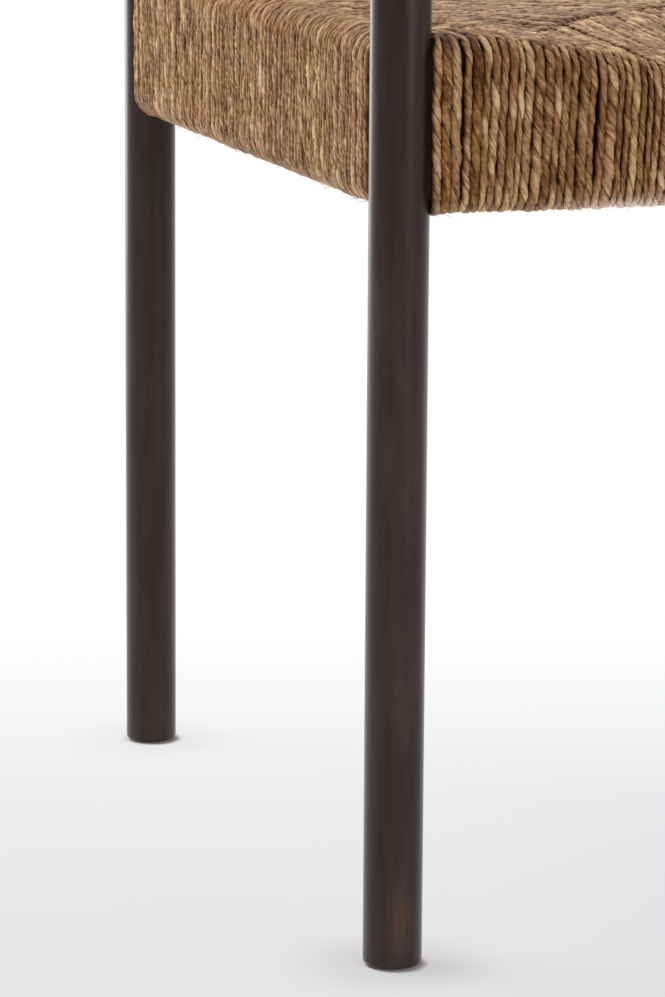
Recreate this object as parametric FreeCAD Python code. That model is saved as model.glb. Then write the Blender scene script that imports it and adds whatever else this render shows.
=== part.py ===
import FreeCAD, Part
import math
import os

# A woven stool: four round posts, four deep rails tenoned into them, and a seat of cord wound over
# the rails. The strands of each side run from a diagonal mitre over the rail's top, down its outer
# face and back to the mitre underneath. The front and rear edges are scooped like a saddle.
# Millimetres, +Z up. The origin is on the floor under the middle of the seat; the front is at -Y.

# Posts
post_diameter = 30.0
post_spacing_wide = 480.0      # between post centres, left to right
post_spacing_deep = 480.0      # between post centres, front to rear
post_rise = 48.0               # post above the cord beside it
post_top_round = 9.0
post_foot_round = 2.5

# Seat of wound cord
seat_height = 471.0            # top of the cord beside the posts
seat_scoop = 27.0              # dip of the front and rear edges at mid-span
seat_dish = 8.0                # dip of the seat's centre
front_wrap_depth = 90.0        # front and rear, beside the posts
side_wrap_depth = 88.0
cord_diameter = 4.6
wrap_tuck = 2.0                # first strand reaches this far in past a post's side
mitre_gap = 0.4                # between two sides of the seat
soft_clearance = 0.3           # between the cord and the wood

# Rails
rail_thickness = 19.0
rail_edge_round = 9.0          # outer top edge beside the posts
rail_mid_round = 16.0          # outer top edge at mid-span of the scooped rails
rail_foot_round = 8.0          # outer bottom edge
rail_arris = 2.0               # chamfer on both inner edges

# Mortise and tenon joints
tenon_thickness = 10.0
tenon_shoulder = 10.0          # rail left above and below a tenon
tenon_mitre_gap = 0.4          # between the two tenons that meet in a post
mortise_end_gap = 1.0          # glue space past a tenon's tip

# Stuffing in the pockets between the upper and lower cord
stuffing_rail_gap = 3.0
stuffing_mitre_gap = 6.0

# Foot glides, each held by one nail
glide_rim = 4.0                # post left round a glide's recess
glide_thickness = 4.0
glide_proud = 0.8              # glide below the post's end
glide_edge_round = 0.5
glide_clearance = 0.2
nail_diameter = 2.2
nail_reach = 18.0              # into the post above the glide
nail_head_diameter = 6.0
nail_head_height = 1.2
nail_head_inset = 0.6          # head above the floor

# Tacks that hold the cord's two ends on the inner faces of the rails
tack_shank_diameter = 1.8
tack_reach = 12.0
tack_head_diameter = 7.0
tack_head_height = 1.4
start_tack_inset = 60.0        # from the front left post's centre
finish_tack_inset = 60.0       # from the rear left post's centre

# Stations along a rail at which its section is drawn
station_count = 17

post_radius = post_diameter / 2
post_height = seat_height + post_rise
half_wide = post_spacing_wide / 2
half_deep = post_spacing_deep / 2
rail_inset = cord_diameter + soft_clearance
wrap_reach = rail_thickness / 2 + rail_inset
wrap_start = post_radius - wrap_tuck
rail_back = rail_inset + rail_thickness
glide_diameter = post_diameter - 2 * glide_rim
up = FreeCAD.Vector(0, 0, 1)

# A side is built as the front one, along X with its inner side toward +Y, and then turned about Z.
# span is half the distance between its posts, reach the distance of its posts' line from the centre.
scooped_side = {
    "span": half_wide,
    "reach": half_deep,
    "bottom": seat_height - front_wrap_depth,
    "scooped": True,
}
straight_side = {
    "span": half_deep,
    "reach": half_wide,
    "bottom": seat_height - side_wrap_depth,
    "scooped": False,
}
sides = {
    "front": (scooped_side, 0),
    "right": (straight_side, 90),
    "rear": (scooped_side, 180),
    "left": (straight_side, 270),
}


def midspan_share(x):
    # 0 beside the posts, 1 at mid-span, level at both
    return (1 + math.cos(2 * math.pi * x / post_spacing_wide)) / 2


def crown_height(side, u):
    # Top of the cord over the rail
    if side["scooped"]:
        return seat_height - seat_scoop * midspan_share(u)
    return seat_height


def crown_round(side, u):
    # Outer radius of the cord where it bends over the rail's top edge
    rail_round = rail_edge_round
    if side["scooped"]:
        most = min(rail_mid_round, rail_thickness - rail_arris)
        rail_round += (most - rail_edge_round) * midspan_share(u)
    return rail_round + rail_inset


def mitre_height(x):
    # Top of the cord where two sides meet
    return seat_height - seat_dish * midspan_share(x)


def fall_angle(side, u):
    # Strands run straight from the rail to the mitre: down from the straight sides into the dish,
    # and up to it from the scooped ones, whose rails lie lower
    from_centre = max(0.0, side["reach"] - side["span"] + abs(u))
    mitre_x = max(0.0, half_wide - half_deep + abs(u))
    if side["scooped"]:
        mitre_x = abs(u)
    run = side["reach"] + wrap_reach - crown_round(side, u) - from_centre
    drop = crown_height(side, u) - mitre_height(mitre_x)
    return math.atan2(drop, max(run, wrap_reach - rail_edge_round))


def top_height(side, u, h, inset):
    # Height of the surface that lies inset below the cord's top, h inward from the outer face
    radius = crown_round(side, u)
    angle = fall_angle(side, u)
    bend_h = radius + (radius - inset) * math.sin(angle)
    bend_z = crown_height(side, u) - radius + (radius - inset) * math.cos(angle)
    return bend_z - (h - bend_h) * math.tan(angle)


def place(side, u, h, z):
    return FreeCAD.Vector(u, h - side["reach"] - wrap_reach, z)


def bend(side, u, centre, radius, start, end):
    # Arc in the section at u, its angles measured from inward level toward up
    def at(angle):
        h = centre[0] + radius * math.cos(angle)
        return place(side, u, h, centre[1] + radius * math.sin(angle))
    return Part.Arc(at(start), at((start + end) / 2), at(end)).toShape()


def section(side, u, pieces):
    # Closed wire from points (h, z) and arcs, joined in order by straight lines
    shapes = [p if isinstance(p, Part.Edge) else place(side, u, *p) for p in pieces]
    edges = []
    for now, after in zip(shapes, shapes[1:] + shapes[:1]):
        if isinstance(now, Part.Edge):
            edges.append(now)
        leave = now.lastVertex(True).Point if isinstance(now, Part.Edge) else now
        arrive = after.firstVertex(True).Point if isinstance(after, Part.Edge) else after
        edges.append(Part.makeLine(leave, arrive))
    return Part.Wire(edges)


def crown_bend(side, u, inset, inward):
    radius = crown_round(side, u)
    centre = (radius, crown_height(side, u) - radius)
    ends = (math.pi, math.pi / 2 - fall_angle(side, u))
    start, end = ends if inward else ends[::-1]
    return bend(side, u, centre, radius - inset, start, end)


def foot_bend(side, u, inset, inward):
    radius = rail_foot_round + rail_inset
    centre = (radius, side["bottom"] + radius)
    ends = (math.pi, 1.5 * math.pi)
    start, end = ends if inward else ends[::-1]
    return bend(side, u, centre, radius - inset, start, end)


def wrap_section(side, u):
    # Layer of cord, one strand thick, round three faces of the rail
    middle = side["reach"] + wrap_reach
    bottom = side["bottom"]
    return section(side, u, [
        (middle, top_height(side, u, middle, 0.0)),
        crown_bend(side, u, 0.0, False),
        foot_bend(side, u, 0.0, True),
        (middle, bottom),
        (middle, bottom + cord_diameter),
        foot_bend(side, u, cord_diameter, False),
        crown_bend(side, u, cord_diameter, True),
        (middle, top_height(side, u, middle, cord_diameter)),
    ])


def rail_section(side, u):
    # Board with its outer edges rounded for the cord
    foot = side["bottom"] + rail_inset
    eased = rail_back - rail_arris
    return section(side, u, [
        foot_bend(side, u, rail_inset, True),
        (eased, foot),
        (rail_back, foot + rail_arris),
        (rail_back, top_height(side, u, rail_back, rail_inset) - rail_arris),
        (eased, top_height(side, u, eased, rail_inset)),
        crown_bend(side, u, rail_inset, False),
    ])


def stuffing_section(side, u):
    # Pad between the two layers of cord
    near = rail_back + stuffing_rail_gap
    far = side["reach"] + wrap_reach
    foot = side["bottom"] + rail_inset
    return section(side, u, [
        (near, foot),
        (far, foot),
        (far, top_height(side, u, far, rail_inset)),
        (near, top_height(side, u, near, rail_inset)),
    ])


def drawn_along(side, draw):
    step = 2 * side["span"] / (station_count - 1)
    wires = [draw(side, i * step - side["span"]) for i in range(station_count)]
    return Part.makeLoft(wires, True, False)


def plan_prism(points):
    # Upright prism as tall as the stool
    corners = [FreeCAD.Vector(x, y, 0) for x, y in points]
    kept = [p for i, p in enumerate(corners) if not p.isEqual(corners[i - 1], soft_clearance)]
    outline = Part.makePolygon(kept + kept[:1])
    return Part.Face(outline).extrude(up * post_height)


def quarter_prism(side, gap):
    # One side's share of the seat in plan, with half the gap left along both mitres
    along = side["span"] - wrap_start
    inner = side["reach"] - wrap_start
    back_off = gap / math.sqrt(2)
    meet = min(along, inner)
    outer = side["reach"] + 2 * wrap_reach
    return plan_prism([
        (-along, -outer),
        (along, -outer),
        (along, -inner - back_off),
        (along - meet, meet - inner - back_off),
        (meet - along, meet - inner - back_off),
        (-along, -inner - back_off),
    ])


def post_rounds(side, radius):
    # Cylinders at the two posts of one side
    bases = [FreeCAD.Vector(end * side["span"], -side["reach"], 0) for end in (-1, 1)]
    return [Part.makeCylinder(radius, post_height, base) for base in bases]


def tenon_levels(side):
    low = side["bottom"] + rail_inset + tenon_shoulder
    high = seat_height - rail_inset - tenon_shoulder
    return low, high


def tack_places(name):
    # (distance along the rail, height) of each tack on one side
    side = sides[name][0]
    low, high = tenon_levels(side)
    middle = (low + high) / 2
    if name == "left":
        return [(side["span"] - start_tack_inset, middle)]
    if name == "rear":
        return [(side["span"] - finish_tack_inset, middle)]
    return []


def tack_round(side, u, z, diameter, length, sense):
    # Cylinder on a rail's inner face: sense -1 goes into the rail, 1 stands on it
    face = place(side, u, rail_back, z)
    return Part.makeCylinder(diameter / 2, length, face, FreeCAD.Vector(0, sense, 0))


def tacks(name):
    side = sides[name][0]
    made = []
    for u, z in tack_places(name):
        head = tack_round(side, u, z, tack_head_diameter, tack_head_height, 1)
        shank = tack_round(side, u, z, tack_shank_diameter, tack_reach, -1)
        made.append(head.fuse(shank).removeSplitter())
    return made


def rail(name):
    side = sides[name][0]
    board = drawn_along(side, rail_section)
    for post in post_rounds(side, post_radius):
        board = board.cut(post)
    low, high = tenon_levels(side)
    for end in (-1, 1):
        corner = FreeCAD.Vector(end * side["span"] - post_radius, -side["reach"] - tenon_thickness / 2, low)
        board = board.fuse(Part.makeBox(post_diameter, tenon_thickness, high - low, corner))
    # Both ends are cut on the diagonal through the post's centre, where two rails meet
    near = rail_thickness
    slip = tenon_mitre_gap / math.sqrt(2)
    ends = plan_prism([
        (-side["span"] - near + slip, -side["reach"] - near),
        (side["span"] + near - slip, -side["reach"] - near),
        (side["span"] - near - slip, -side["reach"] + near),
        (-side["span"] + near + slip, -side["reach"] + near),
    ])
    board = board.common(ends)
    for u, z in tack_places(name):
        board = board.cut(tack_round(side, u, z, tack_shank_diameter, tack_reach, -1))
    return board.removeSplitter()


def weave(name):
    side = sides[name][0]
    layer = drawn_along(side, wrap_section).common(quarter_prism(side, mitre_gap))
    for post in post_rounds(side, post_radius + soft_clearance):
        layer = layer.cut(post)
    return layer


def stuffing(name):
    side = sides[name][0]
    return drawn_along(side, stuffing_section).common(quarter_prism(side, stuffing_mitre_gap))


def turned(shape, name):
    shape.rotate(FreeCAD.Vector(0, 0, 0), up, sides[name][1])
    return shape


def mortise(side, along_x, sign_x, sign_y):
    # Pocket in a post's own frame, open toward the rail, past the tenon's tip by the glue space
    low, high = tenon_levels(side)
    tip = tenon_thickness / 2 + mortise_end_gap
    length = tip + post_diameter
    if along_x:
        start = -tip if sign_x < 0 else tip - length
        corner = FreeCAD.Vector(start, -tenon_thickness / 2, low)
        return Part.makeBox(length, tenon_thickness, high - low, corner)
    start = -tip if sign_y < 0 else tip - length
    corner = FreeCAD.Vector(-tenon_thickness / 2, start, low)
    return Part.makeBox(tenon_thickness, length, high - low, corner)


def nail_bore(diameter, length):
    return Part.makeCylinder(diameter / 2, length)


def nail():
    # Flat head under the glide and a shank up into the post
    seat = FreeCAD.Vector(0, 0, nail_head_inset)
    head = Part.makeCylinder(nail_head_diameter / 2, nail_head_height, seat)
    shank = Part.makeCylinder(nail_diameter / 2, glide_thickness + nail_reach - nail_head_inset, seat)
    return head.fuse(shank).removeSplitter()


def glide():
    disc = Part.makeCylinder(glide_diameter / 2, glide_thickness)
    rim = [e for e in disc.Edges if e.BoundBox.ZMax < glide_thickness / 2 and e.Closed]
    disc = disc.makeFillet(glide_edge_round, rim)
    head_well = nail_bore(nail_head_diameter + 2 * glide_clearance, nail_head_inset + nail_head_height)
    return disc.cut(head_well).cut(nail_bore(nail_diameter, glide_thickness))


def post(sign_x, sign_y):
    foot = FreeCAD.Vector(0, 0, glide_proud)
    turning = Part.makeCylinder(post_radius, post_height - glide_proud, foot)
    top_edge = [e for e in turning.Edges if e.BoundBox.ZMin > post_height / 2]
    turning = turning.makeFillet(post_top_round, top_edge)
    foot_edge = [e for e in turning.Edges if e.BoundBox.ZMax < post_height / 2]
    turning = turning.makeFillet(post_foot_round, foot_edge)
    turning = turning.cut(mortise(scooped_side, True, sign_x, sign_y))
    turning = turning.cut(mortise(straight_side, False, sign_x, sign_y))
    turning = turning.cut(nail_bore(glide_diameter + 2 * glide_clearance, glide_thickness))
    return turning.cut(nail_bore(nail_diameter, glide_thickness + nail_reach))


def at_corner(shape, sign_x, sign_y):
    shape.translate(FreeCAD.Vector(sign_x * half_wide, sign_y * half_deep, 0))
    return shape


def save(shape, node):
    shape.exportStep("parts/" + node + ".step")


os.makedirs("parts", exist_ok=True)

corners = {
    "front_left": (-1, -1),
    "front_right": (1, -1),
    "rear_left": (-1, 1),
    "rear_right": (1, 1),
}
for corner, signs in corners.items():
    save(at_corner(post(*signs), *signs), "post_" + corner)
    save(at_corner(glide(), *signs), "glide_" + corner)
nails = [at_corner(nail(), *signs) for signs in corners.values()]
save(Part.makeCompound(nails), "glide_nails")

for name in sides:
    save(turned(rail(name), name), "rail_" + name)
    save(turned(weave(name), name), "weave_" + name)
    save(turned(stuffing(name), name), "stuffing_" + name)
all_tacks = [turned(tack, name) for name in sides for tack in tacks(name)]
save(Part.makeCompound(all_tacks), "cord_tacks")
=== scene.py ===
import math

import bpy
import numpy as np
from mathutils import Matrix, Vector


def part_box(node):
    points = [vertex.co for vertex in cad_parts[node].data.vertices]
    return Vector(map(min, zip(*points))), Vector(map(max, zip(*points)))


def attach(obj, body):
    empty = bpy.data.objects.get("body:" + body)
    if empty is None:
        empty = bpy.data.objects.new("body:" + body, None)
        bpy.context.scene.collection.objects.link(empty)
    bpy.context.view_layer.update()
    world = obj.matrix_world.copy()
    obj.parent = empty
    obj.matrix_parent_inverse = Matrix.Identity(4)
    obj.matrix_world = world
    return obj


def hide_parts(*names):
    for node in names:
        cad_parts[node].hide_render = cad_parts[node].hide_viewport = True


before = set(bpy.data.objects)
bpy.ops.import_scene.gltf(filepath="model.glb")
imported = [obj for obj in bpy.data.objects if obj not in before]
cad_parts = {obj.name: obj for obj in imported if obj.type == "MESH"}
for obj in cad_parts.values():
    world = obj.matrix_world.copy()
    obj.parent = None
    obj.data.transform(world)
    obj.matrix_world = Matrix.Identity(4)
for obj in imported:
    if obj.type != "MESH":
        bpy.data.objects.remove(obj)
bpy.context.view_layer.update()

mm = 0.001
print("frame loaded:", len(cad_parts), "nodes")

# Sizes read from the frame, in metres
frontLow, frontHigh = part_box("weave_front")
sideLow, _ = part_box("weave_left")
postLow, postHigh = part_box("post_front_left")
seatTop = frontHigh.z
wrapFace = -frontLow.y                          # outer face of the wound cord, from the centre
wrapHalf = frontHigh.x                          # half the width that the strands of one side fill
postRadius = (postHigh.x - postLow.x) / 2
postReach = -(postHigh.x + postLow.x) / 2       # a post's axis, from the centre, both ways

# How scooped and straight sides differ: how far strands lie in or out, how much their widths and their
# tones on top spread, the dust at the foot, the painted sheen on the top and on its inner part, and the share
# of pale turns
scoopedSide = {"scooped": True, "uneven": 1.0, "widths": 1.0, "tones": 0.5,
               "footDust": 1.0, "topSheen": 0.0, "innerSheen": 0.09, "pale": 0.05}
straightSide = {"scooped": False, "uneven": 0.4, "widths": 0.5, "tones": 0.15,
                "footDust": 0.35, "topSheen": 0.07, "innerSheen": 0.14, "pale": 0.02}
# A side is worked out as the front one, u along the rail, h inward from its outer face, z up
sides = {
    "front": {"turn": 0, "foot": frontLow.z, **scoopedSide},
    "right": {"turn": 90, "foot": sideLow.z, **straightSide},
    "rear": {"turn": 180, "foot": frontLow.z, **scoopedSide},
    "left": {"turn": 270, "foot": sideLow.z, **straightSide},
}

seat = {
    "scoop": 27 * mm,           # dip of the front and rear edges at mid-span
    "dish": 8 * mm,             # dip of the seat's centre
    "edgeRound": 13.9 * mm,     # outer bend over a rail beside the posts
    "midRound": 20.9 * mm,      # the same at mid-span of the scooped rails
    "footRound": 12.9 * mm,     # outer bend under a rail
    "shortRun": 5.4 * mm,       # least run from a bend to the mitre
    "depth": 2.3 * mm,          # middle of a strand below the outer face
}
# each mitre from the front left corner round: bow toward its first side, dip, and where along it these are
mitres = [
    {"bow": 3 * mm, "dip": 6.5 * mm, "middle": 140 * mm},
    {"bow": -3 * mm, "dip": 3.0 * mm, "middle": 100 * mm},
    {"bow": 4 * mm, "dip": 4.5 * mm, "middle": 140 * mm},
    {"bow": -2 * mm, "dip": 3.5 * mm, "middle": 110 * mm},
]
mitreSpread = 30 * mm
mitreReach = 52 * mm            # run over which a straight side's strands fall to the dip


def midspanShare(u):
    # half a cosine wave: 0 beside the posts, 1 at mid-span
    return (1 + np.cos(np.pi * u / postReach)) / 2


def mitreBell(side, key, u):
    # a bell curve along the mitre at the left or right end of a side
    first, second = (mitres[(side["turn"] // 90 + end) % 4] for end in (0, 1))
    left, right = (m[key] * np.exp(-((np.abs(u) - m["middle"]) / mitreSpread) ** 2) for m in (first, second))
    return np.where(u < 0, left, right)


def wrapShape(side, u):
    # crown height, bend radius, distance in to the mitre and fall of the top run, for each u
    share = midspanShare(u)
    scooped = float(side["scooped"])
    crown = seatTop - scooped * seat["scoop"] * share
    bend = seat["edgeRound"] + scooped * (seat["midRound"] - seat["edgeRound"]) * share
    mitreIn = wrapFace - np.abs(u) + np.sign(u) * mitreBell(side, "bow", u)
    drop = crown - (seatTop - seat["dish"] * share - scooped * mitreBell(side, "dip", u))
    fall = np.arctan2(drop, np.maximum(wrapFace - np.abs(u) - bend, seat["shortRun"]))
    return crown, bend, mitreIn, fall


def runLengths(side, u, past):
    # lengths of the five runs of a strand: top, bend over the rail, outer face, bend under, underside
    crown, bend, mitreIn, fall = wrapShape(side, u)
    depth = seat["depth"]
    bendIn = bend + (bend - depth) * np.sin(fall)
    top = (mitreIn + past - bendIn) / np.cos(fall)
    over = (bend - depth) * (np.pi / 2 + fall)
    face = crown - bend - side["foot"] - seat["footRound"]
    under = (seat["footRound"] - depth) * np.pi / 2
    below = mitreIn + past - seat["footRound"]
    return np.stack(np.broadcast_arrays(top, over, face, under, below))


def strandLine(side, u, past, s):
    # the middle line at length s: straight top run, arc, straight face, arc, straight underside
    crown, bend, mitreIn, fall = wrapShape(side, u)
    depth, foot, footRound = seat["depth"], side["foot"], seat["footRound"]
    marks = np.cumsum(runLengths(side, u, past), axis=0)
    bendIn = bend + (bend - depth) * np.sin(fall)
    bendUp = crown - bend + (bend - depth) * np.cos(fall)
    topH = mitreIn + past - s * np.cos(fall)
    topZ = bendUp - (topH - bendIn) * np.tan(fall)
    overAngle = np.pi / 2 - fall + (s - marks[0]) / (bend - depth)
    overH = bend + (bend - depth) * np.cos(overAngle)
    overZ = crown - bend + (bend - depth) * np.sin(overAngle)
    faceZ = crown - bend - (s - marks[1])
    footAngle = np.pi + (s - marks[2]) / (footRound - depth)
    footH = footRound + (footRound - depth) * np.cos(footAngle)
    footZ = foot + footRound + (footRound - depth) * np.sin(footAngle)
    belowH = footRound + s - marks[3]
    where = [s < marks[0], s < marks[1], s < marks[2], s < marks[3]]
    h = np.select(where, [topH, overH, np.full_like(s, depth), footH], belowH)
    z = np.select(where, [topZ, overZ, faceZ, footZ], np.full_like(s, foot + depth))
    return h, z, marks


def smoothStep(x):
    x = np.clip(x, 0, 1)
    return x * x * (3 - 2 * x)


def unit(v):
    return v / np.maximum(np.linalg.norm(v, axis=-1, keepdims=True), 1e-12)


def turned(points, degrees):
    # local (u, h, z) to the stool's frame
    a = math.radians(degrees)
    x, y, z = points[..., 0], points[..., 1] - wrapFace, points[..., 2]
    return np.stack([x * math.cos(a) - y * math.sin(a), x * math.sin(a) + y * math.cos(a), z], axis=-1)


# Woven strands
cordLook = {
    "count": 100,               # strands on each side
    "ringStep": 1.9 * mm,       # along the top and the outer face
    "underStep": 3.4 * mm,      # along the underside
    "press": 1.09,              # width of a strand, of its share of the rail
    "sizeSpread": 0.14,
    "sizes": (0.72, 1.3),       # narrowest and widest, of the mean
    "fat": (0.07, 0.22),        # share of fat strands, and how much wider they are
    "plySpread": 0.07,
    "lay": 22.0 * mm,           # length of one full twist
    "laySpread": 0.20,
    "groove": 0.26,             # depth of the groove between the two plies, of the radius
    "flat": 0.17,               # how much slimmer a strand is across the groove
    "rough": 0.055,             # unevenness of the surface, of the radius
    "slack": 0.16,              # how much slimmer a strand is on the top than on the face
    "lean": 4.0 * mm,           # shift of a strand from the top of the face to its foot
    "wave": 0.24 * mm,          # sideways wander
    "lift": 0.32 * mm,          # wander outward
    "proud": 0.42 * mm,         # how far a whole strand stands out or in
    "sink": 1.2 * mm,           # strands lie lower beside the posts
    "cornerSink": 4.0 * mm,     # and most on the left side's front end
    "postGap": 1.8 * mm,        # opening between that end's face and the post
    "footSag": 3.0 * mm,        # strands hang lower under the rail beside the posts
    "past": 4.0 * mm,           # strand run on past the mitre
    "diveUnder": 5.2 * mm,
    "diveOver": 7.0 * mm,
    "seed": 11,
}
toneLook = {
    "strand": (0.50, 0.07),     # middle and spread from strand to strand
    "range": (0.2, 0.8),
    "pale": (0.06, 0.16),       # share of paler strands, and how much paler
    "dark": (0.10, 0.10),       # the same for darker ones
    "ply": 0.06,                # spread from ply to ply
    "lens": 0.12,               # how far one turn of a ply is from the next
    "paleLens": 4.0,            # how many times that a pale turn stands out
    "slow": 0.07,               # change along a strand
    "grain": 0.07,              # change from point to point
    "bendShade": 0.18,                # painted shade: darker on the top near a scooped edge
}
dustLook = {
    "spread": (0.7, 1.3),       # least and most on a strand
    "width": 6.5 * mm,          # half width of the dusty line on the bend under the rail
    "rise": 3 * mm,             # from the end of that bend up to the line
    "least": 0.12,              # amount at the rail's left end
    "patch": 260 * mm,          # from one dusty patch to the next
    "patchShift": 125 * mm,
    "besidePost": 0.15,
}
# slits between strands on the front, in millimetres: place along the rail, height, half length, width
frontSlits = np.array([
    (-218.4, 426, 18, 0.8), (-212.7, 430, 42, 2.6), (-206.7, 440, 18, 0.3), (-162.2, 416, 18, 0.4),
    (-154.3, 424, 34, 0.9), (-142.5, 421, 28, 2.6), (-131.7, 414, 16, 0.5), (-129.0, 417, 15, 0.9),
    (-124.2, 404, 9, 0.8), (-118.1, 418, 18, 1.3), (-109.9, 411, 20, 0.8)]) * mm
plainSlits = {"count": 26, "half": (8, 26), "width": (0.3, 1.2)}
# ten points round a strand, closer together at the two grooves between its plies
plyAngles = np.radians([90, 112, 157, 203, 248, 270, 292, 337, 383, 428])
plyGroove = np.isclose(np.cos(plyAngles), 0) * 1.0


def wander(rng, strand, s, lengths, size):
    # sum of sine waves along the strand, each with its own phase on every strand
    total = np.zeros_like(s)
    for length in lengths:
        phase = rng.uniform(0, 2 * np.pi, strand.max() + 1)[strand]
        stretch = rng.uniform(0.8, 1.25, strand.max() + 1)[strand]
        total += np.sin(2 * np.pi * s / (length * stretch) + phase)
    return total * size / len(lengths) ** 0.5


def strandSet(name, rng):
    # centres, radii and twist of all strands on one side, packed side by side across the rail
    count, spread = cordLook["count"], sides[name]["widths"]
    fatShare, fatter = cordLook["fat"]
    width = np.clip(rng.normal(1, cordLook["sizeSpread"] * spread, count), *cordLook["sizes"])
    width = np.where(rng.random(count) < fatShare, width * (1 + fatter * spread), width)
    pitch = width / width.sum() * 2 * wrapHalf
    u = np.cumsum(pitch) - pitch / 2 - wrapHalf
    (paleShare, paler), (darkShare, darker) = toneLook["pale"], toneLook["dark"]
    tone = np.clip(rng.normal(*toneLook["strand"], count), *toneLook["range"])
    tone = np.where(rng.random(count) < paleShare, tone + paler, tone)
    tone = np.where(rng.random(count) < darkShare, tone - darker, tone)
    return {
        "u": u,
        "radius": pitch / 2 * cordLook["press"],
        "tone": tone,
        "plyTone": rng.normal(0, toneLook["ply"], (count, 2)),
        "plySize": 1 + rng.normal(0, cordLook["plySpread"], (count, 2)),
        "lay": cordLook["lay"] * np.clip(1 + rng.normal(0, cordLook["laySpread"], count), 0.6, 1.6),
        "phase": rng.uniform(0, 2 * np.pi, count),
        "proud": rng.normal(0, cordLook["proud"], count),
        "offset": rng.uniform(0, 40, (count, 3)),
        "slits": slitSet(name, rng),
    }


def slitSet(name, rng):
    # the slits seen on the front's left part, and scattered ones elsewhere
    count, foot = plainSlits["count"], sides[name]["foot"]
    low = frontSlits[-1, 0] + 6 * mm if name == "front" else -wrapHalf + 25 * mm
    scattered = np.stack([
        rng.uniform(low, wrapHalf - 25 * mm, count),
        rng.uniform(foot + 20 * mm, seatTop - 45 * mm, count),
        rng.uniform(*plainSlits["half"], count) * mm,
        rng.uniform(*plainSlits["width"], count) * mm], axis=-1)
    return np.concatenate([frontSlits, scattered]) if name == "front" else scattered


def postPush(u, h, radius):
    # distance along u by which a strand gives way to the post beside it, easing off over a few strands
    fromPost = np.hypot(postReach - np.abs(u), h - (wrapFace - postReach))
    short = postRadius + radius + 0.3 * mm - fromPost
    ease = 2.0 * mm
    return (short + np.sqrt(short * short + ease * ease)) / 2 * smoothStep(1.5 + short / (12 * mm))


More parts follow.
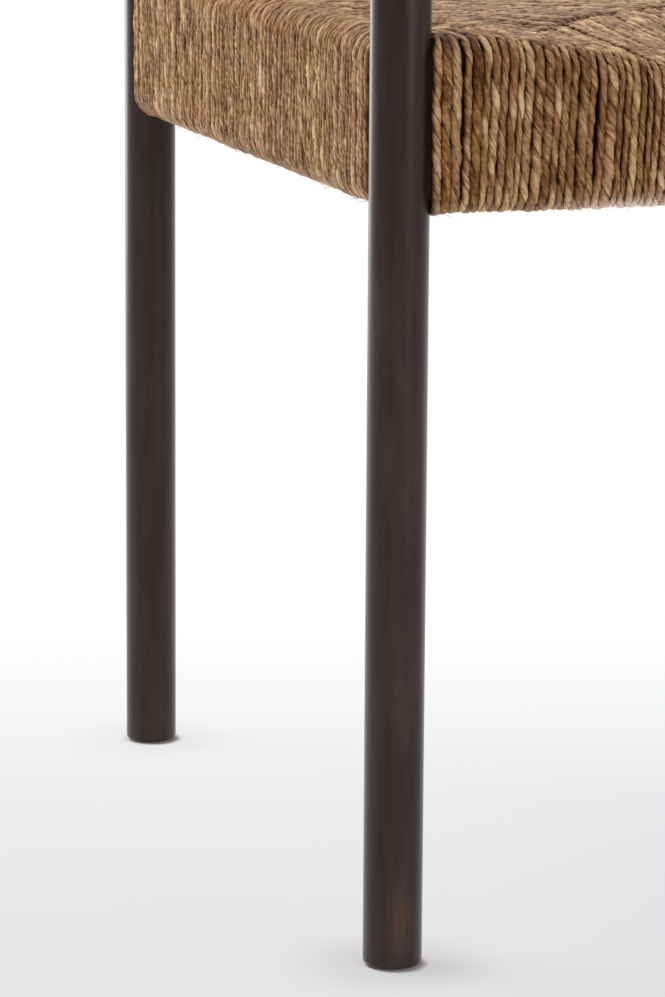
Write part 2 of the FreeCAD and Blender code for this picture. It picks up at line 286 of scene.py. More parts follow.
def strandRings(name, strands, chosen, rng):
    # middle points, frames and values of every ring of the chosen strands, as flat arrays
    side = sides[name]
    u0 = strands["u"][chosen]
    past = np.full(len(chosen), cordLook["past"])
    runs = runLengths(side, u0, past)
    upper = runs[:4].sum(axis=0)
    upperCount = np.ceil(upper / cordLook["ringStep"]).astype(int)
    lowerCount = np.ceil(runs[4] / cordLook["underStep"]).astype(int)
    counts = upperCount + lowerCount + 1
    starts = np.cumsum(counts) - counts
    strand = np.repeat(np.arange(len(chosen)), counts)
    step = np.arange(counts.sum()) - starts[strand]
    low = np.maximum(step - upperCount[strand], 0)
    s = np.minimum(step / upperCount[strand], 1) * upper[strand] + low / lowerCount[strand] * runs[4][strand]
    u, radius = u0[strand], strands["radius"][chosen][strand]
    h, z, marks = strandLine(side, u, past[strand], s)

    # at the mitre the strands of one half dip under their neighbours and those of the other drop past them,
    # and a straight side's strands fall to the mitre's dip
    beyond = h - wrapShape(side, u)[2]
    over = u > 0
    dive = np.where(
        over,
        cordLook["diveOver"] * smoothStep((beyond + 1.5 * mm) / (6 * mm)),
        cordLook["diveUnder"] * smoothStep((beyond + 9 * mm) / (9 * mm)),
    )
    dip = np.where(side["scooped"], 0, mitreBell(side, "dip", u) * smoothStep(1 + beyond / mitreReach))
    z = z + np.where(s < marks[1], -dive - dip, np.where(s > marks[3], dive, 0))

    following = np.minimum(np.arange(len(s)) + 1, (starts + counts - 1)[strand])
    before = np.maximum(np.arange(len(s)) - 1, starts[strand])
    along = unit(np.stack([h[following] - h[before], z[following] - z[before]], axis=-1))
    fromEnd = wrapHalf - np.abs(u)
    onTop = 1 - smoothStep((s - marks[0]) / (marks[1] - marks[0]))
    lift = wander(rng, strand, s, (61 * mm, 117 * mm, 230 * mm), cordLook["lift"])
    lift += strands["proud"][chosen][strand]
    inward = onTop * smoothStep((h - 12 * mm) / (40 * mm))
    lift *= side["uneven"] + (0.85 - side["uneven"]) * inward
    flat = smoothStep((s - marks[2]) / (marks[3] - marks[2]))        # pressed flat under the rail
    lift = lift * (1 - 0.7 * flat) + 0.5 * mm * flat
    frontLeft = (u > 0) & (name == "left")
    sink = np.where(frontLeft, cordLook["cornerSink"], cordLook["sink"])
    lift -= (sink * onTop + cordLook["sink"] * (1 - onTop)) * np.exp(-fromEnd / (12 * mm))
    h = h + along[:, 1] * lift
    z = z - along[:, 0] * lift - cordLook["footSag"] * flat * np.exp(-fromEnd / (5 * mm))

    # sideways: the lean of the face, slits, wander, and room for the post
    faceShare = np.clip((s - marks[0]) / (marks[3] - marks[0]), 0, 1)
    leanShare = smoothStep((wrapHalf - np.abs(u) - 10 * mm) / (24 * mm))
    shift = -cordLook["lean"] * leanShare * (faceShare - 0.5)
    for slitU, slitZ, slitHalf, slitWidth in strands["slits"]:
        near = np.exp(-np.abs(u - slitU) / (9 * mm)) * np.exp(-((z - slitZ) / slitHalf) ** 4)
        shift += np.sign(u - slitU) * near * slitWidth / 2 * (h < 20 * mm)
    shift += wander(rng, strand, s, (19 * mm, 43 * mm, 71 * mm), cordLook["wave"])
    gap = cordLook["postGap"] * (1 - onTop) * frontLeft
    shift -= np.sign(u) * postPush(u, h, radius + gap)
    points = np.stack([u + shift, h, z], axis=-1)

    tangent = unit(points[following] - points[before])
    cross = unit(np.array([1.0, 0, 0]) - tangent * tangent[:, :1])
    outward = np.cross(tangent, cross)
    # dusty on the bend under the rail away from its left end and a little beside a post, and paler on top and
    # inward as painted sheen, in the same mask
    amount = rng.uniform(*dustLook["spread"], len(chosen)) * side["footDust"]
    patchy = 0.65 + 0.35 * np.cos(2 * np.pi * (u0 + dustLook["patchShift"]) / dustLook["patch"])
    fromLeft = smoothStep((u0 + wrapHalf - 45 * mm) / (65 * mm))
    amount *= dustLook["least"] + (1 - dustLook["least"]) * fromLeft * patchy
    dustAndSheen = np.exp(-((s - marks[3] + dustLook["rise"]) / dustLook["width"]) ** 2) * amount[strand]
    besidePost = dustLook["besidePost"] * np.exp(-fromEnd / (9 * mm))
    inner = side["innerSheen"] * smoothStep((h - 35 * mm) / (60 * mm))
    dustAndSheen += onTop * (side["topSheen"] + besidePost + inner)
    # painted shade: darker on the top near a scooped edge, fading over its bend
    bendShade = np.exp(-((s - marks[0] + 25 * mm) / (34 * mm)) ** 2) * side["scooped"]
    radius = radius * (1 - cordLook["slack"] * onTop)
    return {
        "points": points, "cross": cross, "outward": outward, "tangent": tangent,
        "s": s, "strand": strand, "starts": starts, "counts": counts,
        "radius": radius, "flat": flat, "onTop": onTop, "dustAndSheen": dustAndSheen, "bendShade": bendShade,
        "varied": onTop * side["tones"], "pale": side["pale"],
        "rough": cordLook["rough"] * (0.4 + 0.6 * side["uneven"]),
    }


def strandSurface(strands, chosen, rings, rng):
    # ten-point rings round the middle line, a circle with a notch at each groove, turned by the twist,
    # so that the grooves wind along the strand
    strand, s = rings["strand"], rings["s"]
    lay = strands["lay"][chosen][strand]
    twist = -2 * np.pi * s / lay + strands["phase"][chosen][strand]
    twist = twist + wander(rng, strand, s, (90 * mm, 140 * mm), 0.5)
    plyShare = smoothStep(0.5 + 0.7 * np.cos(plyAngles))        # 1 on the first ply, 0 on the second
    mix = np.stack([plyShare, 1 - plyShare])
    plySize = strands["plySize"][chosen] @ mix
    plyTone = strands["plyTone"][chosen] @ mix

    # a ply comes round once a turn and shows as a leaf-shaped lens; each has its own tone,
    # and a few are broad and pale
    turn = np.floor((twist[:, None] + [np.pi / 2, np.pi * 1.5]) / (2 * np.pi)).astype(int)
    turn -= turn.min()
    lenses = np.clip(rng.normal(0, 1, (len(chosen), 2, turn.max() + 1)), -2, 2)
    lenses = np.where(rng.random(lenses.shape) < rings["pale"], lenses + toneLook["paleLens"], lenses)
    lens = lenses[strand[:, None], [0, 1], turn] @ mix
    loose = 1 + 0.5 * rings["onTop"][:, None]           # less pressed on top, so the plies show more
    varied = 1 + rings["varied"][:, None]

    swell = 1 + wander(rng, strand, s, (17 * mm, 29 * mm), 0.035)
    # grooves come and go along the strand
    grooved = np.clip(0.75 + wander(rng, strand, s, (23 * mm, 51 * mm), 0.3), 0.15, 1.1)[:, None] * plyGroove
    shape = 1 - loose * (cordLook["groove"] * grooved + cordLook["flat"] * (1 - np.abs(np.cos(plyAngles))))
    reach = (rings["radius"] * swell)[:, None] * shape * plySize[strand] * (1 + 0.035 * lens)
    reach *= 1 + rng.normal(0, rings["rough"], reach.shape)
    angle = twist[:, None] + plyAngles
    flat = rings["flat"][:, None]
    aside, out = np.cos(angle) * (1 + 0.08 * flat), np.sin(angle) * (1 - 0.35 * flat)
    points = rings["points"][:, None] + reach[..., None] * (
        aside[..., None] * rings["cross"][:, None] + out[..., None] * rings["outward"][:, None])

    tone = strands["tone"][chosen][strand][:, None] + varied * (plyTone[strand] + toneLook["lens"] * lens)
    tone = tone + wander(rng, strand, s, (31 * mm, 58 * mm, 120 * mm), toneLook["slow"])[:, None]
    # less the painted shade near a scooped edge
    tone = tone + rng.normal(0, toneLook["grain"], tone.shape) - toneLook["bendShade"] * rings["bendShade"][:, None]
    around = np.stack([np.cos(plyAngles), np.sin(plyAngles)], axis=-1) * seat["depth"]
    place = np.empty(points.shape)
    place[..., 0] = s[:, None]
    place[..., 1:] = around
    place += strands["offset"][chosen][strand][:, None]
    # painted shade: dark in the grooves, and between strands where the surface faces a neighbour or the rail
    dustAndSheen = np.broadcast_to(rings["dustAndSheen"][:, None], tone.shape)
    creviceShade = smoothStep((0.88 - np.sin(angle)) / 0.55)
    creviceShade = creviceShade * (1 - 0.4 * flat) * (1 - 0.6 * np.minimum(dustAndSheen, 1))
    values = {"place": place, "tone": tone, "groove": grooved * loose, "creviceShade": creviceShade, "dustAndSheen": dustAndSheen}
    return points, values


def tubeFaces(starts, counts, around):
    # quads between neighbouring rings of each tube, and one polygon across each end
    rows = np.repeat(starts, counts - 1) + np.arange((counts - 1).sum()) - np.repeat(
        np.cumsum(counts - 1) - (counts - 1), counts - 1)
    j = np.arange(around)
    after = (j + 1) % around
    base = rows[:, None] * around
    corners = [base + j, base + after, base + around + after, base + around + j]
    quads = np.stack(corners, axis=-1).reshape(-1, 4)
    firstCap = starts[:, None] * around + j[::-1]
    lastCap = (starts + counts - 1)[:, None] * around + j
    return quads, np.concatenate([firstCap, lastCap])


def meshPiece(name, points, quads, caps, values=None, material=None):
    # puts points and faces into a mesh at the origin, with one attribute for each set of values
    mesh = bpy.data.meshes.new(name)
    points = points.reshape(-1, 3)
    loops = np.concatenate([quads.ravel(), caps.ravel()])
    capStart = quads.size + np.arange(len(caps)) * (caps.shape[1] if len(caps) else 0)
    mesh.vertices.add(len(points))
    mesh.loops.add(len(loops))
    mesh.polygons.add(len(quads) + len(caps))
    mesh.vertices.foreach_set("co", points.astype(np.float32).ravel())
    mesh.loops.foreach_set("vertex_index", loops.astype(np.int32))
    loopStart = np.concatenate([np.arange(len(quads)) * 4, capStart])
    mesh.polygons.foreach_set("loop_start", loopStart.astype(np.int32))
    mesh.update(calc_edges=True)
    mesh.validate()
    mesh.polygons.foreach_set("use_smooth", np.ones(len(mesh.polygons), dtype=bool))
    for key, value in (values or {}).items():
        kind = "FLOAT_VECTOR" if value.ndim == 3 else "FLOAT"
        layer = mesh.attributes.new(key, kind, "POINT")
        layer.data.foreach_set("vector" if value.ndim == 3 else "value", value.astype(np.float32).ravel())
    piece = bpy.data.objects.new(name, mesh)
    bpy.context.scene.collection.objects.link(piece)
    if material:
        mesh.materials.append(material)
    return piece


# Materials
def linear(r, g, b):
    # screen colour of 0 to 255 to a linear colour
    c = np.array([r, g, b]) / 255
    c = np.where(c <= 0.04045, c / 12.92, ((c + 0.055) / 1.055) ** 2.4)
    return (*[float(x) for x in c], 1.0)


def addNode(tree, kind, inputs=None, **settings):
    node = tree.nodes.new(kind)
    for key, value in settings.items():
        setattr(node, key, value)
    for key, value in (inputs or {}).items():
        if isinstance(value, bpy.types.NodeSocket):
            tree.links.new(value, node.inputs[key])
        else:
            node.inputs[key].default_value = value
    return node


def ramp(tree, fac, stops):
    node = addNode(tree, "ShaderNodeValToRGB", {"Fac": fac})
    elements = node.color_ramp.elements
    while len(elements) < len(stops):
        elements.new(0.5)
    for element, (place, colour) in zip(elements, stops):
        element.position = place
        element.color = colour
    return node.outputs["Color"]


def maths(tree, operation, a, b=0.0, c=0.0):
    node = addNode(tree, "ShaderNodeMath", {0: a, 1: b, 2: c}, operation=operation)
    return node.outputs[0]


def vectorMaths(tree, operation, a, b=(0, 0, 0)):
    node = addNode(tree, "ShaderNodeVectorMath", {0: a, 1: b}, operation=operation)
    return node.outputs["Value" if operation in ("DOT_PRODUCT", "DISTANCE") else "Vector"]


def mapRange(tree, value, low, high, first, last, **settings):
    inputs = {0: value, 1: low, 2: high, 3: first, 4: last}
    return addNode(tree, "ShaderNodeMapRange", inputs, **settings).outputs[0]


def mixColour(tree, blend, fac, a, b):
    node = addNode(tree, "ShaderNodeMix", data_type="RGBA", blend_type=blend)
    for socket, value in ((node.inputs[0], fac), (node.inputs[6], a), (node.inputs[7], b)):
        if isinstance(value, bpy.types.NodeSocket):
            tree.links.new(value, socket)
        else:
            socket.default_value = value
    return node.outputs[2]


def newMaterial(name, inputs):
    material = bpy.data.materials.new(name)
    material.use_nodes = True
    tree = material.node_tree
    tree.nodes.clear()
    shader = addNode(tree, "ShaderNodeBsdfPrincipled", inputs)
    out = addNode(tree, "ShaderNodeOutputMaterial")
    tree.links.new(shader.outputs[0], out.inputs["Surface"])
    return material, tree, shader


def newGroup(name, inputs, outputs):
    group = bpy.data.node_groups.new(name, "ShaderNodeTree")
    for title, kind, value in inputs:
        socket = group.interface.new_socket(title, in_out="INPUT", socket_type=kind)
        if value is not None:
            socket.default_value = value
    for title, kind in outputs:
        group.interface.new_socket(title, in_out="OUTPUT", socket_type=kind)
    return group, addNode(group, "NodeGroupInput"), addNode(group, "NodeGroupOutput")


def fillGroup(tree, group, inputs):
    return addNode(tree, "ShaderNodeGroup", inputs, node_tree=group)


def fibreGroup():
    # long streaks along the first coordinate: stretched noise, coarse for blades and fine for fibres
    group, given, out = newGroup(
        "fibre streaks",
        [("Place", "NodeSocketVector", None), ("Along", "NodeSocketFloat", 60.0),
         ("Across", "NodeSocketFloat", 900.0)],
        [("Blades", "NodeSocketFloat"), ("Fibres", "NodeSocketFloat")])
    parts = addNode(group, "ShaderNodeSeparateXYZ", {0: given.outputs["Place"]})
    for title, fine in (("Blades", 1.0), ("Fibres", 2.6)):
        along = maths(group, "MULTIPLY", given.outputs["Along"], fine)
        across = maths(group, "MULTIPLY", given.outputs["Across"], fine)
        vector = addNode(group, "ShaderNodeCombineXYZ", {
            0: maths(group, "MULTIPLY", parts.outputs[0], along),
            1: maths(group, "MULTIPLY", parts.outputs[1], across),
            2: maths(group, "MULTIPLY", parts.outputs[2], across)})
        noise = addNode(group, "ShaderNodeTexNoise", {
            "Vector": vector.outputs[0], "Scale": 1.0, "Detail": 2.0})
        group.links.new(noise.outputs[0], out.inputs[title])
    return group


def grainGroup():
    # wood grain along Z: broad bands, fine pores and slow patches from noise stretched along the trunk
    group, given, out = newGroup(
        "wood grain",
        [("Place", "NodeSocketVector", None), ("Fineness", "NodeSocketFloat", 1.0)],
        [("Bands", "NodeSocketFloat"), ("Pores", "NodeSocketFloat"), ("Patches", "NodeSocketFloat")])
    scaled = addNode(group, "ShaderNodeVectorMath", {0: given.outputs["Place"], 3: given.outputs["Fineness"]},
                     operation="SCALE")
    for title, scale, detail in (("Bands", (260, 260, 24), 4.0), ("Pores", (900, 900, 60), 2.0),
                                 ("Patches", (50, 50, 11), 5.0)):
        mapping = addNode(group, "ShaderNodeMapping", {"Vector": scaled.outputs[0], "Scale": scale})
        noise = addNode(group, "ShaderNodeTexNoise", {
            "Vector": mapping.outputs[0], "Scale": 1.0, "Detail": detail})
        group.links.new(noise.outputs[0], out.inputs[title])
    return group


fibreStreaks = fibreGroup()
woodGrain = grainGroup()


def seagrassMaterial():
    material, tree, shader = newMaterial("seagrass", {
        "IOR": 1.42, "Specular IOR Level": 0.15,
        "Sheen Roughness": 0.28, "Sheen Tint": linear(252, 242, 228)})
    place = addNode(tree, "ShaderNodeAttribute", attribute_name="place").outputs["Vector"]
    tone, groove, creviceShade, dustAndSheen = (addNode(tree, "ShaderNodeAttribute", attribute_name=key).outputs["Fac"]
                                   for key in ("tone", "groove", "creviceShade", "dustAndSheen"))
    streaks = fillGroup(tree, fibreStreaks, {"Place": place, "Along": 150.0, "Across": 700.0})
    blades = maths(tree, "MULTIPLY_ADD", streaks.outputs["Blades"], 1.1, -0.55)
    fibres = maths(tree, "MULTIPLY_ADD", streaks.outputs["Fibres"], 1.1, -0.55)
    level = maths(tree, "ADD", maths(tree, "ADD", tone, blades), fibres)
    colour = ramp(tree, level, [
        (0.00, linear(78, 45, 15)), (0.25, linear(112, 76, 41)), (0.45, linear(137, 99, 62)),
        (0.62, linear(157, 121, 83)), (0.80, linear(179, 146, 107)), (1.00, linear(200, 173, 136))])
    # some turns are redder and some yellower
    stretched = addNode(tree, "ShaderNodeMapping", {"Vector": place, "Scale": (9.0, 70.0, 70.0)})
    hue = addNode(tree, "ShaderNodeTexNoise", {"Vector": stretched.outputs[0], "Scale": 1.0, "Detail": 1.0})
    tint = ramp(tree, hue.outputs[0], [
        (0.32, linear(255, 241, 239)), (0.5, linear(252, 251, 249)), (0.68, linear(252, 249, 222))])
    colour = mixColour(tree, "MULTIPLY", 1.0, colour, tint)
    # pale fuzz where the cord is dusty, and a painted sheen on top and inward, both in one pale colour
    fuzzAndSheen = maths(tree, "MULTIPLY", dustAndSheen, maths(tree, "MULTIPLY_ADD", streaks.outputs["Fibres"], 0.9, 0.35))
    colour = mixColour(tree, "MIX", maths(tree, "MINIMUM", fuzzAndSheen, 0.9), colour, linear(238, 218, 202))
    # painted shade: darker in the grooves between plies and in the crevices between strands
    colour = mixColour(tree, "MULTIPLY", maths(tree, "MULTIPLY", groove, 0.75), colour, linear(110, 68, 36))
    colour = mixColour(tree, "MULTIPLY", maths(tree, "MULTIPLY", creviceShade, 0.8), colour, linear(142, 85, 36))
    sheen = maths(tree, "MAXIMUM", maths(tree, "MULTIPLY_ADD", creviceShade, -0.75, 0.5), 0.0)
    tree.links.new(sheen, shader.inputs["Sheen Weight"])
    tree.links.new(colour, shader.inputs["Base Color"])
    rough = maths(tree, "MULTIPLY_ADD", streaks.outputs["Fibres"], 0.35, 0.45)
    tree.links.new(rough, shader.inputs["Roughness"])
    height = maths(tree, "ADD", streaks.outputs["Blades"], streaks.outputs["Fibres"])
    bump = addNode(tree, "ShaderNodeBump", {"Strength": 0.8, "Distance": 0.4 * mm, "Height": height})
    tree.links.new(bump.outputs[0], shader.inputs["Normal"])
    return material


def postMaterial(name, dark, light, warm, rough, coat):
    # stained wood: dark and light bands, a warmer brown in slow patches, fine pores in the bump, thin lacquer
    material, tree, shader = newMaterial(name, {
        "IOR": 1.48, "Specular IOR Level": 0.15, "Coat Roughness": 0.25, "Coat IOR": 1.3})
    place = addNode(tree, "ShaderNodeTexCoord").outputs["Object"]
    grain = fillGroup(tree, woodGrain, {"Place": place, "Fineness": 1.0})
    if coat:
        # the lacquer is thinner beside the seat, where hands hold the stool, apart from the posts' outer flanks
        parts = addNode(tree, "ShaderNodeSeparateXYZ", {0: place})
        lacquer = mapRange(tree, parts.outputs["Z"], 330 * mm, 430 * mm, coat, coat * 0.45)
        outward = maths(tree, "ABSOLUTE", parts.outputs["X"])
        flank = mapRange(tree, outward, postReach + 13 * mm, postReach + 14.2 * mm, 0.0, coat * 1.1)
        tree.links.new(maths(tree, "MAXIMUM", lacquer, flank), shader.inputs["Coat Weight"])
    bands = ramp(tree, grain.outputs["Bands"], [(0.35, dark), (0.65, light)])
    patch = mapRange(tree, grain.outputs["Patches"], 0.5, 0.72, 0.0, 0.34)
    colour = mixColour(tree, "MIX", patch, bands, warm)
    # a warmer, lighter spot low on the outer face of each post: a bell round one point of the folded frame
    folded = vectorMaths(tree, "MULTIPLY", vectorMaths(tree, "ABSOLUTE", place), (1, 1, 0.25))
    spot = (postReach + 1.4 * mm, postReach + 14.9 * mm, 6.5 * mm)
    away = vectorMaths(tree, "DISTANCE", folded, spot)
    away = maths(tree, "MULTIPLY_ADD", grain.outputs["Patches"], -8 * mm, away)
    warmSpot = mapRange(tree, away, -3 * mm, 5 * mm, 0.7, 0.0)
    colour = mixColour(tree, "MIX", warmSpot, colour, warm)
    pores = mapRange(tree, grain.outputs["Pores"], 0.58, 0.7, 0.0, 0.45)
    colour = mixColour(tree, "MIX", pores, colour, dark)
    tree.links.new(colour, shader.inputs["Base Color"])
    level = maths(tree, "MULTIPLY_ADD", grain.outputs["Bands"], 0.16, rough - 0.08)
    tree.links.new(level, shader.inputs["Roughness"])
    height = maths(tree, "MULTIPLY_ADD", grain.outputs["Pores"], -0.6, grain.outputs["Bands"])
    bump = addNode(tree, "ShaderNodeBump", {"Strength": 0.25, "Distance": 0.2 * mm, "Height": height})
    tree.links.new(bump.outputs[0], shader.inputs["Normal"])
    return material


def speckledMaterial(name, dark, light, scale, rough, depth, metal=0.0):
    # two close colours, a little roughness and a bump from one noise
    material, tree, shader = newMaterial(name, {"Metallic": metal})
    place = addNode(tree, "ShaderNodeTexCoord").outputs["Object"]
    noise = addNode(tree, "ShaderNodeTexNoise", {"Vector": place, "Scale": scale, "Detail": 4.0}).outputs[0]
    tree.links.new(ramp(tree, noise, [(0.35, dark), (0.65, light)]), shader.inputs["Base Color"])
    tree.links.new(maths(tree, "MULTIPLY_ADD", noise, 0.2, rough - 0.1), shader.inputs["Roughness"])
    bump = addNode(tree, "ShaderNodeBump", {"Strength": 0.6, "Distance": depth, "Height": noise})
    tree.links.new(bump.outputs[0], shader.inputs["Normal"])
    return material


seagrass = seagrassMaterial()
kraft = speckledMaterial("kraft packing", dark=linear(128, 98, 66), light=linear(168, 136, 98),
                         scale=90.0, rough=0.85, depth=2.5 * mm)
finishes = {
    "post": postMaterial("espresso post", dark=linear(33, 18, 16), light=linear(43, 27, 24),
                         warm=linear(78, 55, 38), rough=0.36, coat=0.8),
    # the rails' stain is darker than the posts': painted shade, as they show only in the gaps between strands
    "rail": postMaterial("espresso rail in painted shade", dark=linear(28, 15, 9), light=linear(36, 21, 13),
                         warm=linear(44, 27, 16), rough=0.7, coat=0.0),
    "glide": speckledMaterial("brown nylon", dark=linear(38, 32, 29), light=linear(52, 44, 40),
                              scale=700.0, rough=0.55, depth=0.1 * mm),
    "steel": speckledMaterial("bright steel", dark=linear(170, 170, 172), light=linear(205, 205, 206),
                              scale=1500.0, rough=0.3, depth=0.03 * mm, metal=1.0),
}
for node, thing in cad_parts.items():
    kind = "steel" if node in ("glide_nails", "cord_tacks") else node.split("_")[0]
    if kind in finishes:
        thing.data.materials[0] = finishes[kind]
print("wood, nylon and steel finished")


def standIn(piece, node):
    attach(piece, "root")
    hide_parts(node)


# Packing in the pockets between the upper and lower cord
packLook = {
    "near": 26.9 * mm,          # inner face of the rail and a little air, from the outer face
    "mitreGap": 8.0 * mm,
    "cordGap": 5.6 * mm,        # below the upper cord's outer face and above the lower cord's
    "end": 214 * mm,
    "stations": 41,
    "around": 28,
    "squareness": 5,
    "crumple": 0.05,
    "seed": 53,
}


def makePacking(name):
    # rounded-box rings along the rail: |cos| and |sin| raised to 2 / squareness, shrunk a little at random
    side = sides[name]
    rng = np.random.default_rng(packLook["seed"] + side["turn"])
    u = np.linspace(-packLook["end"], packLook["end"], packLook["stations"])[:, None]
    angle = np.arange(packLook["around"]) / packLook["around"] * 2 * np.pi
    power = 2 / packLook["squareness"]
    shrink = 1 - packLook["crumple"] * rng.random((packLook["stations"], packLook["around"]))
    across = np.sign(np.cos(angle)) * np.abs(np.cos(angle)) ** power * shrink
    upward = np.sign(np.sin(angle)) * np.abs(np.sin(angle)) ** power * shrink
    crown, bend, mitreIn, fall = wrapShape(side, u)
    near, far = packLook["near"], mitreIn - packLook["mitreGap"]
    h = (near + far) / 2 + across * (far - near) / 2
    dip = 0 if side["scooped"] else mitreBell(side, "dip", u) * smoothStep(1 + (h - mitreIn) / mitreReach)
    top = crown - np.maximum(h - bend, 0) * np.tan(fall) - packLook["cordGap"] - dip
    low = side["foot"] + packLook["cordGap"]
    z = (top + low) / 2 + upward * (top - low) / 2
    points = np.stack(np.broadcast_arrays(u, h, z), axis=-1)
    quads, caps = tubeFaces(np.array([0]), np.array([packLook["stations"]]), packLook["around"])
    piece = meshPiece("packing_" + name, turned(points, side["turn"]), quads, caps, None, kraft)
    standIn(piece, "stuffing_" + name)


# Loose fibres that stand off the cord, most of them along its lower edge
fibreLook = {
    "count": 420,               # on each half of a side
    "length": (1.5, 5.5),       # in millimetres
    "radius": 0.12 * mm,
    "curl": (0.1, 0.6),         # outward, of the length
    "sway": (-0.5, 0.5),        # sideways, of the length
    "tone": (0.45, 0.95),
    "rings": 5,
    "around": 4,
}


def looseFibres(name, letter, rings, rng):
    # each fibre leaves the strand's surface along it and curls off as the square of its length
    weight = 0.12 + rings["dustAndSheen"] + 0.1 * (rings["outward"][:, 2] > -0.5)
    root = rng.choice(len(weight), fibreLook["count"], p=weight / weight.sum())
    count, along = fibreLook["count"], np.linspace(0, 1, fibreLook["rings"])[:, None]
    tangent, cross, outward = (rings[key][root] for key in ("tangent", "cross", "outward"))
    tangent = tangent * rng.choice([-1.0, 1.0], (count, 1))
    aside = rng.uniform(-0.6, 0.6, (count, 1))
    start = rings["points"][root] + rings["radius"][root][:, None] * (0.9 * outward + 0.6 * aside * cross)
    length = rng.uniform(*fibreLook["length"], (count, 1)) * mm
    bend = outward * rng.uniform(*fibreLook["curl"], (count, 1))
    bend = bend + cross * rng.uniform(*fibreLook["sway"], (count, 1))
    middle = start[:, None] + length[:, None] * (tangent[:, None] * along + bend[:, None] * along ** 2)
    angle = np.arange(fibreLook["around"]) / fibreLook["around"] * 2 * np.pi
    third = np.cross(tangent, cross)
    ring = np.cos(angle)[:, None] * cross[:, None] + np.sin(angle)[:, None] * third[:, None]
    points = middle[:, :, None] + fibreLook["radius"] * (1.15 - along)[:, None] * ring[:, None]
    starts = np.arange(count) * fibreLook["rings"]
    quads, caps = tubeFaces(starts, np.full(count, fibreLook["rings"]), fibreLook["around"])
    each = fibreLook["rings"] * fibreLook["around"]
    values = {
        "place": points.reshape(count, each, 3),
        "tone": np.repeat(rng.uniform(*fibreLook["tone"], count), each),
        "groove": np.zeros(count * each),
        "creviceShade": np.zeros(count * each),
        "dustAndSheen": np.repeat(rings["dustAndSheen"][root], each),
    }
    points = turned(points, sides[name]["turn"])
    piece = meshPiece("fibres_" + name + "_" + letter, points, quads, caps, values, seagrass)
    standIn(piece, "weave_" + name)


for number, name in enumerate(sides):
    rng = np.random.default_rng(cordLook["seed"] + number)
    strands = strandSet(name, rng)
    half, faces = cordLook["count"] // 2, 0
    for letter, chosen in (("a", np.arange(half)), ("b", np.arange(half, cordLook["count"]))):
        rings = strandRings(name, strands, chosen, rng)
        points, values = strandSurface(strands, chosen, rings, rng)
        points = turned(points, sides[name]["turn"])
        quads, caps = tubeFaces(rings["starts"], rings["counts"], len(plyAngles))
        piece = meshPiece("cord_" + name + "_" + letter, points, quads, caps, values, seagrass)
        standIn(piece, "weave_" + name)
        looseFibres(name, letter, rings, rng)
        faces += len(quads) + len(caps)
    makePacking(name)
    print("strands wound:", name, faces, "faces")


# Floor, light and camera
cameraLook = {
    "place": (-888 * mm, -2235 * mm, 650 * mm),
    "heading": 17.13,           # degrees from +Y toward +X
    "pitch": 11.07,             # degrees down
    "roll": 0.36,
    "lens": 155.7,
}


def makeCamera():
    h, p, r = (math.radians(cameraLook[key]) for key in ("heading", "pitch", "roll"))
    forward = np.array([math.sin(h) * math.cos(p), math.cos(h) * math.cos(p), -math.sin(p)])
    right = np.array([math.cos(h), -math.sin(h), 0.0])
    up = np.cross(right, forward)
    right, up = right * math.cos(r) + up * math.sin(r), up * math.cos(r) - right * math.sin(r)
    data = bpy.data.cameras.new("camera")
    data.lens = cameraLook["lens"]
    data.sensor_width = 36
    data.clip_end = 50
    camera = bpy.data.objects.new("camera", data)
    turn = np.stack([right, up, -forward], axis=1)
    camera.matrix_world = Matrix.Translation(cameraLook["place"]) @ Matrix(turn.tolist()).to_4x4()
    bpy.context.scene.collection.objects.link(camera)
    bpy.context.scene.camera = camera


def seenRay(tree):
    # 1 where a camera, mirror or glass ray looks
    path = addNode(tree, "ShaderNodeLightPath")
    seen = maths(tree, "MAXIMUM", path.outputs["Is Camera Ray"], path.outputs["Is Glossy Ray"])
    return maths(tree, "MAXIMUM", seen, path.outputs["Is Transmission Ray"])


floorLook = {
    "half": 6.0,
    "fade": (-0.45, 0.52),                  # depth from the centre at which the fade to white begins and ends
    "paper": [(0.0, (231, 229, 230)), (0.3, (234, 233, 236)), (0.48, (238, 238, 240)),
              (0.64, (246, 246, 247)), (0.79, (249, 251, 251)), (0.92, (255, 255, 255))],
    "thrown": (0.94, 0.94, 0.94, 1),        # colour that throws light back
    "seen": (0.56, 0.545, 0.53, 1),         # colour that is looked at, as bright as the glow when lit
    "glow": 0.83,                           # least share of the glow
    "shade": (12 * mm, 65 * mm, 0.2),       # dimmed glow round a foot: from, to and amount
    "contact": (15 * mm, 19 * mm, 0.08),    # glow under a foot's edge: from, to and least share
}


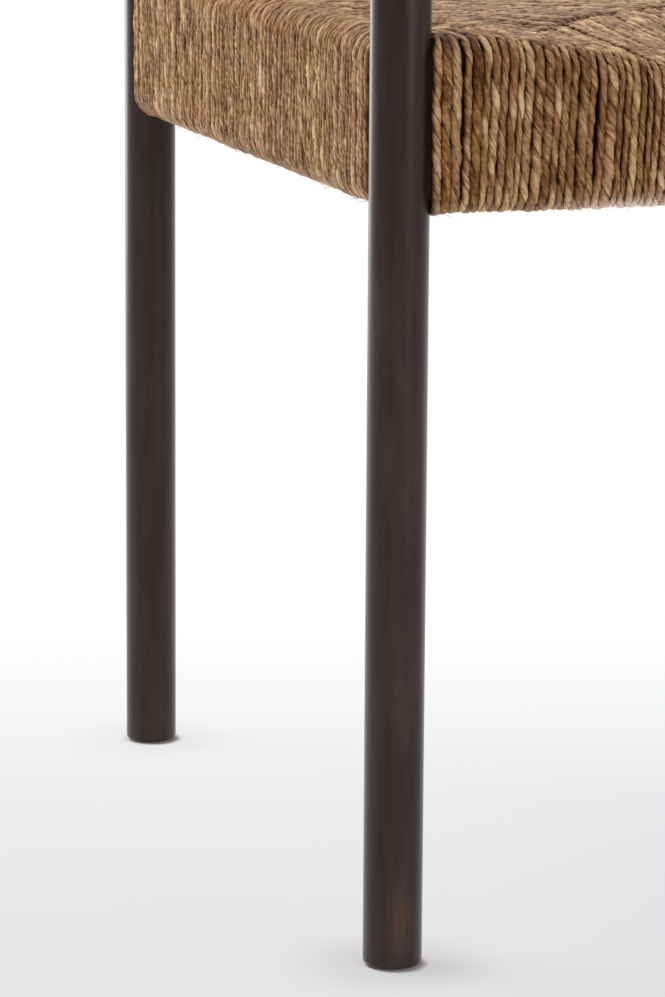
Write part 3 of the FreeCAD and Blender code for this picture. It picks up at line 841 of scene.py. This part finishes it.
def makeFloor():
    half = floorLook["half"]
    corners = np.array([[-half, -half, 0], [half, -half, 0], [half, half, 0], [-half, half, 0]])
    floor = meshPiece("floor", corners, np.array([[0, 1, 2, 3]]), np.zeros((0, 4), dtype=int))
    material = bpy.data.materials.new("pale floor")
    material.use_nodes = True
    tree = material.node_tree
    tree.nodes.clear()
    place = addNode(tree, "ShaderNodeTexCoord").outputs["Object"]
    heading = math.radians(cameraLook["heading"])
    depth = vectorMaths(tree, "DOT_PRODUCT", place, (math.sin(heading), math.cos(heading), 0))
    fade = mapRange(tree, depth, *floorLook["fade"], 0.0, 1.0)
    seen = seenRay(tree)
    shade = mixColour(tree, "MIX", seen, floorLook["thrown"], floorLook["seen"])
    plain = addNode(tree, "ShaderNodeBsdfDiffuse", {"Color": shade})
    paper = ramp(tree, fade, [(stop, linear(*colour)) for stop, colour in floorLook["paper"]])
    # the glow takes no shadow, so it is dimmed all round each foot, as the foot would shade it
    fromFoot = vectorMaths(tree, "DISTANCE", vectorMaths(tree, "ABSOLUTE", place), (postReach, postReach, 0))
    start, end, amount = floorLook["shade"]
    soft = mapRange(tree, fromFoot, start, end, amount, 0.0, interpolation_type="SMOOTHSTEP")
    dimmed = maths(tree, "MULTIPLY", soft, maths(tree, "SUBTRACT", 1.0, fade))
    paper = mixColour(tree, "MIX", dimmed, paper, (0, 0, 0, 1))
    glow = addNode(tree, "ShaderNodeEmission", {"Color": paper, "Strength": 1.0})
    # hardly any glow at a foot's edge, so that its own shadow shows
    start, end, least = floorLook["contact"]
    contact = mapRange(tree, fromFoot, start, end, least, 1.0)
    share = maths(tree, "MULTIPLY_ADD", fade, 1 - floorLook["glow"], floorLook["glow"])
    share = maths(tree, "MULTIPLY", maths(tree, "MULTIPLY", seen, share), contact)
    mix = addNode(tree, "ShaderNodeMixShader", {0: share, 1: plain.outputs[0], 2: glow.outputs[0]})
    addNode(tree, "ShaderNodeOutputMaterial", {"Surface": mix.outputs[0]})
    floor.data.materials.append(material)


ambient = 0.42                  # strength of the white world as a light
lamps = {
    "key": {"place": (-1.8, 0.9, 3.0), "target": (0, 0, 0.4), "size": 1.9, "power": 126},
    "fill": {"place": (0.9, -2.6, 0.9), "target": (0, 0, 0.35), "size": 1.0, "power": 24},
    "rim": {"place": (-0.95, 1.65, 0.55), "target": (-0.24, -0.24, 0.4), "size": 1.0, "power": 5.4},
}


def makeWorld():
    world = bpy.data.worlds.new("studio")
    bpy.context.scene.world = world
    world.use_nodes = True
    tree = world.node_tree
    tree.nodes.clear()
    soft = addNode(tree, "ShaderNodeBackground", {"Color": (1, 1, 1, 1), "Strength": ambient})
    white = addNode(tree, "ShaderNodeBackground", {"Color": (1, 1, 1, 1), "Strength": 1.0})
    mix = addNode(tree, "ShaderNodeMixShader", {0: seenRay(tree), 1: soft.outputs[0], 2: white.outputs[0]})
    addNode(tree, "ShaderNodeOutputWorld", {"Surface": mix.outputs[0]})


def makeLamp(name, look):
    data = bpy.data.lights.new(name, "AREA")
    data.shape = "DISK"
    data.size = look["size"]
    data.energy = look["power"]
    lamp = bpy.data.objects.new(name, data)
    aim = unit(np.array(look["target"]) - np.array(look["place"]))
    right = unit(np.cross(aim, [0, 0, 1]))
    turn = np.stack([right, np.cross(right, aim), -aim], axis=1)
    lamp.matrix_world = Matrix.Translation(look["place"]) @ Matrix(turn.tolist()).to_4x4()
    bpy.context.scene.collection.objects.link(lamp)


makeCamera()
makeFloor()
makeWorld()
for name, look in lamps.items():
    makeLamp(name, look)
bpy.context.scene.view_settings.view_transform = "Standard"
print("studio ready")
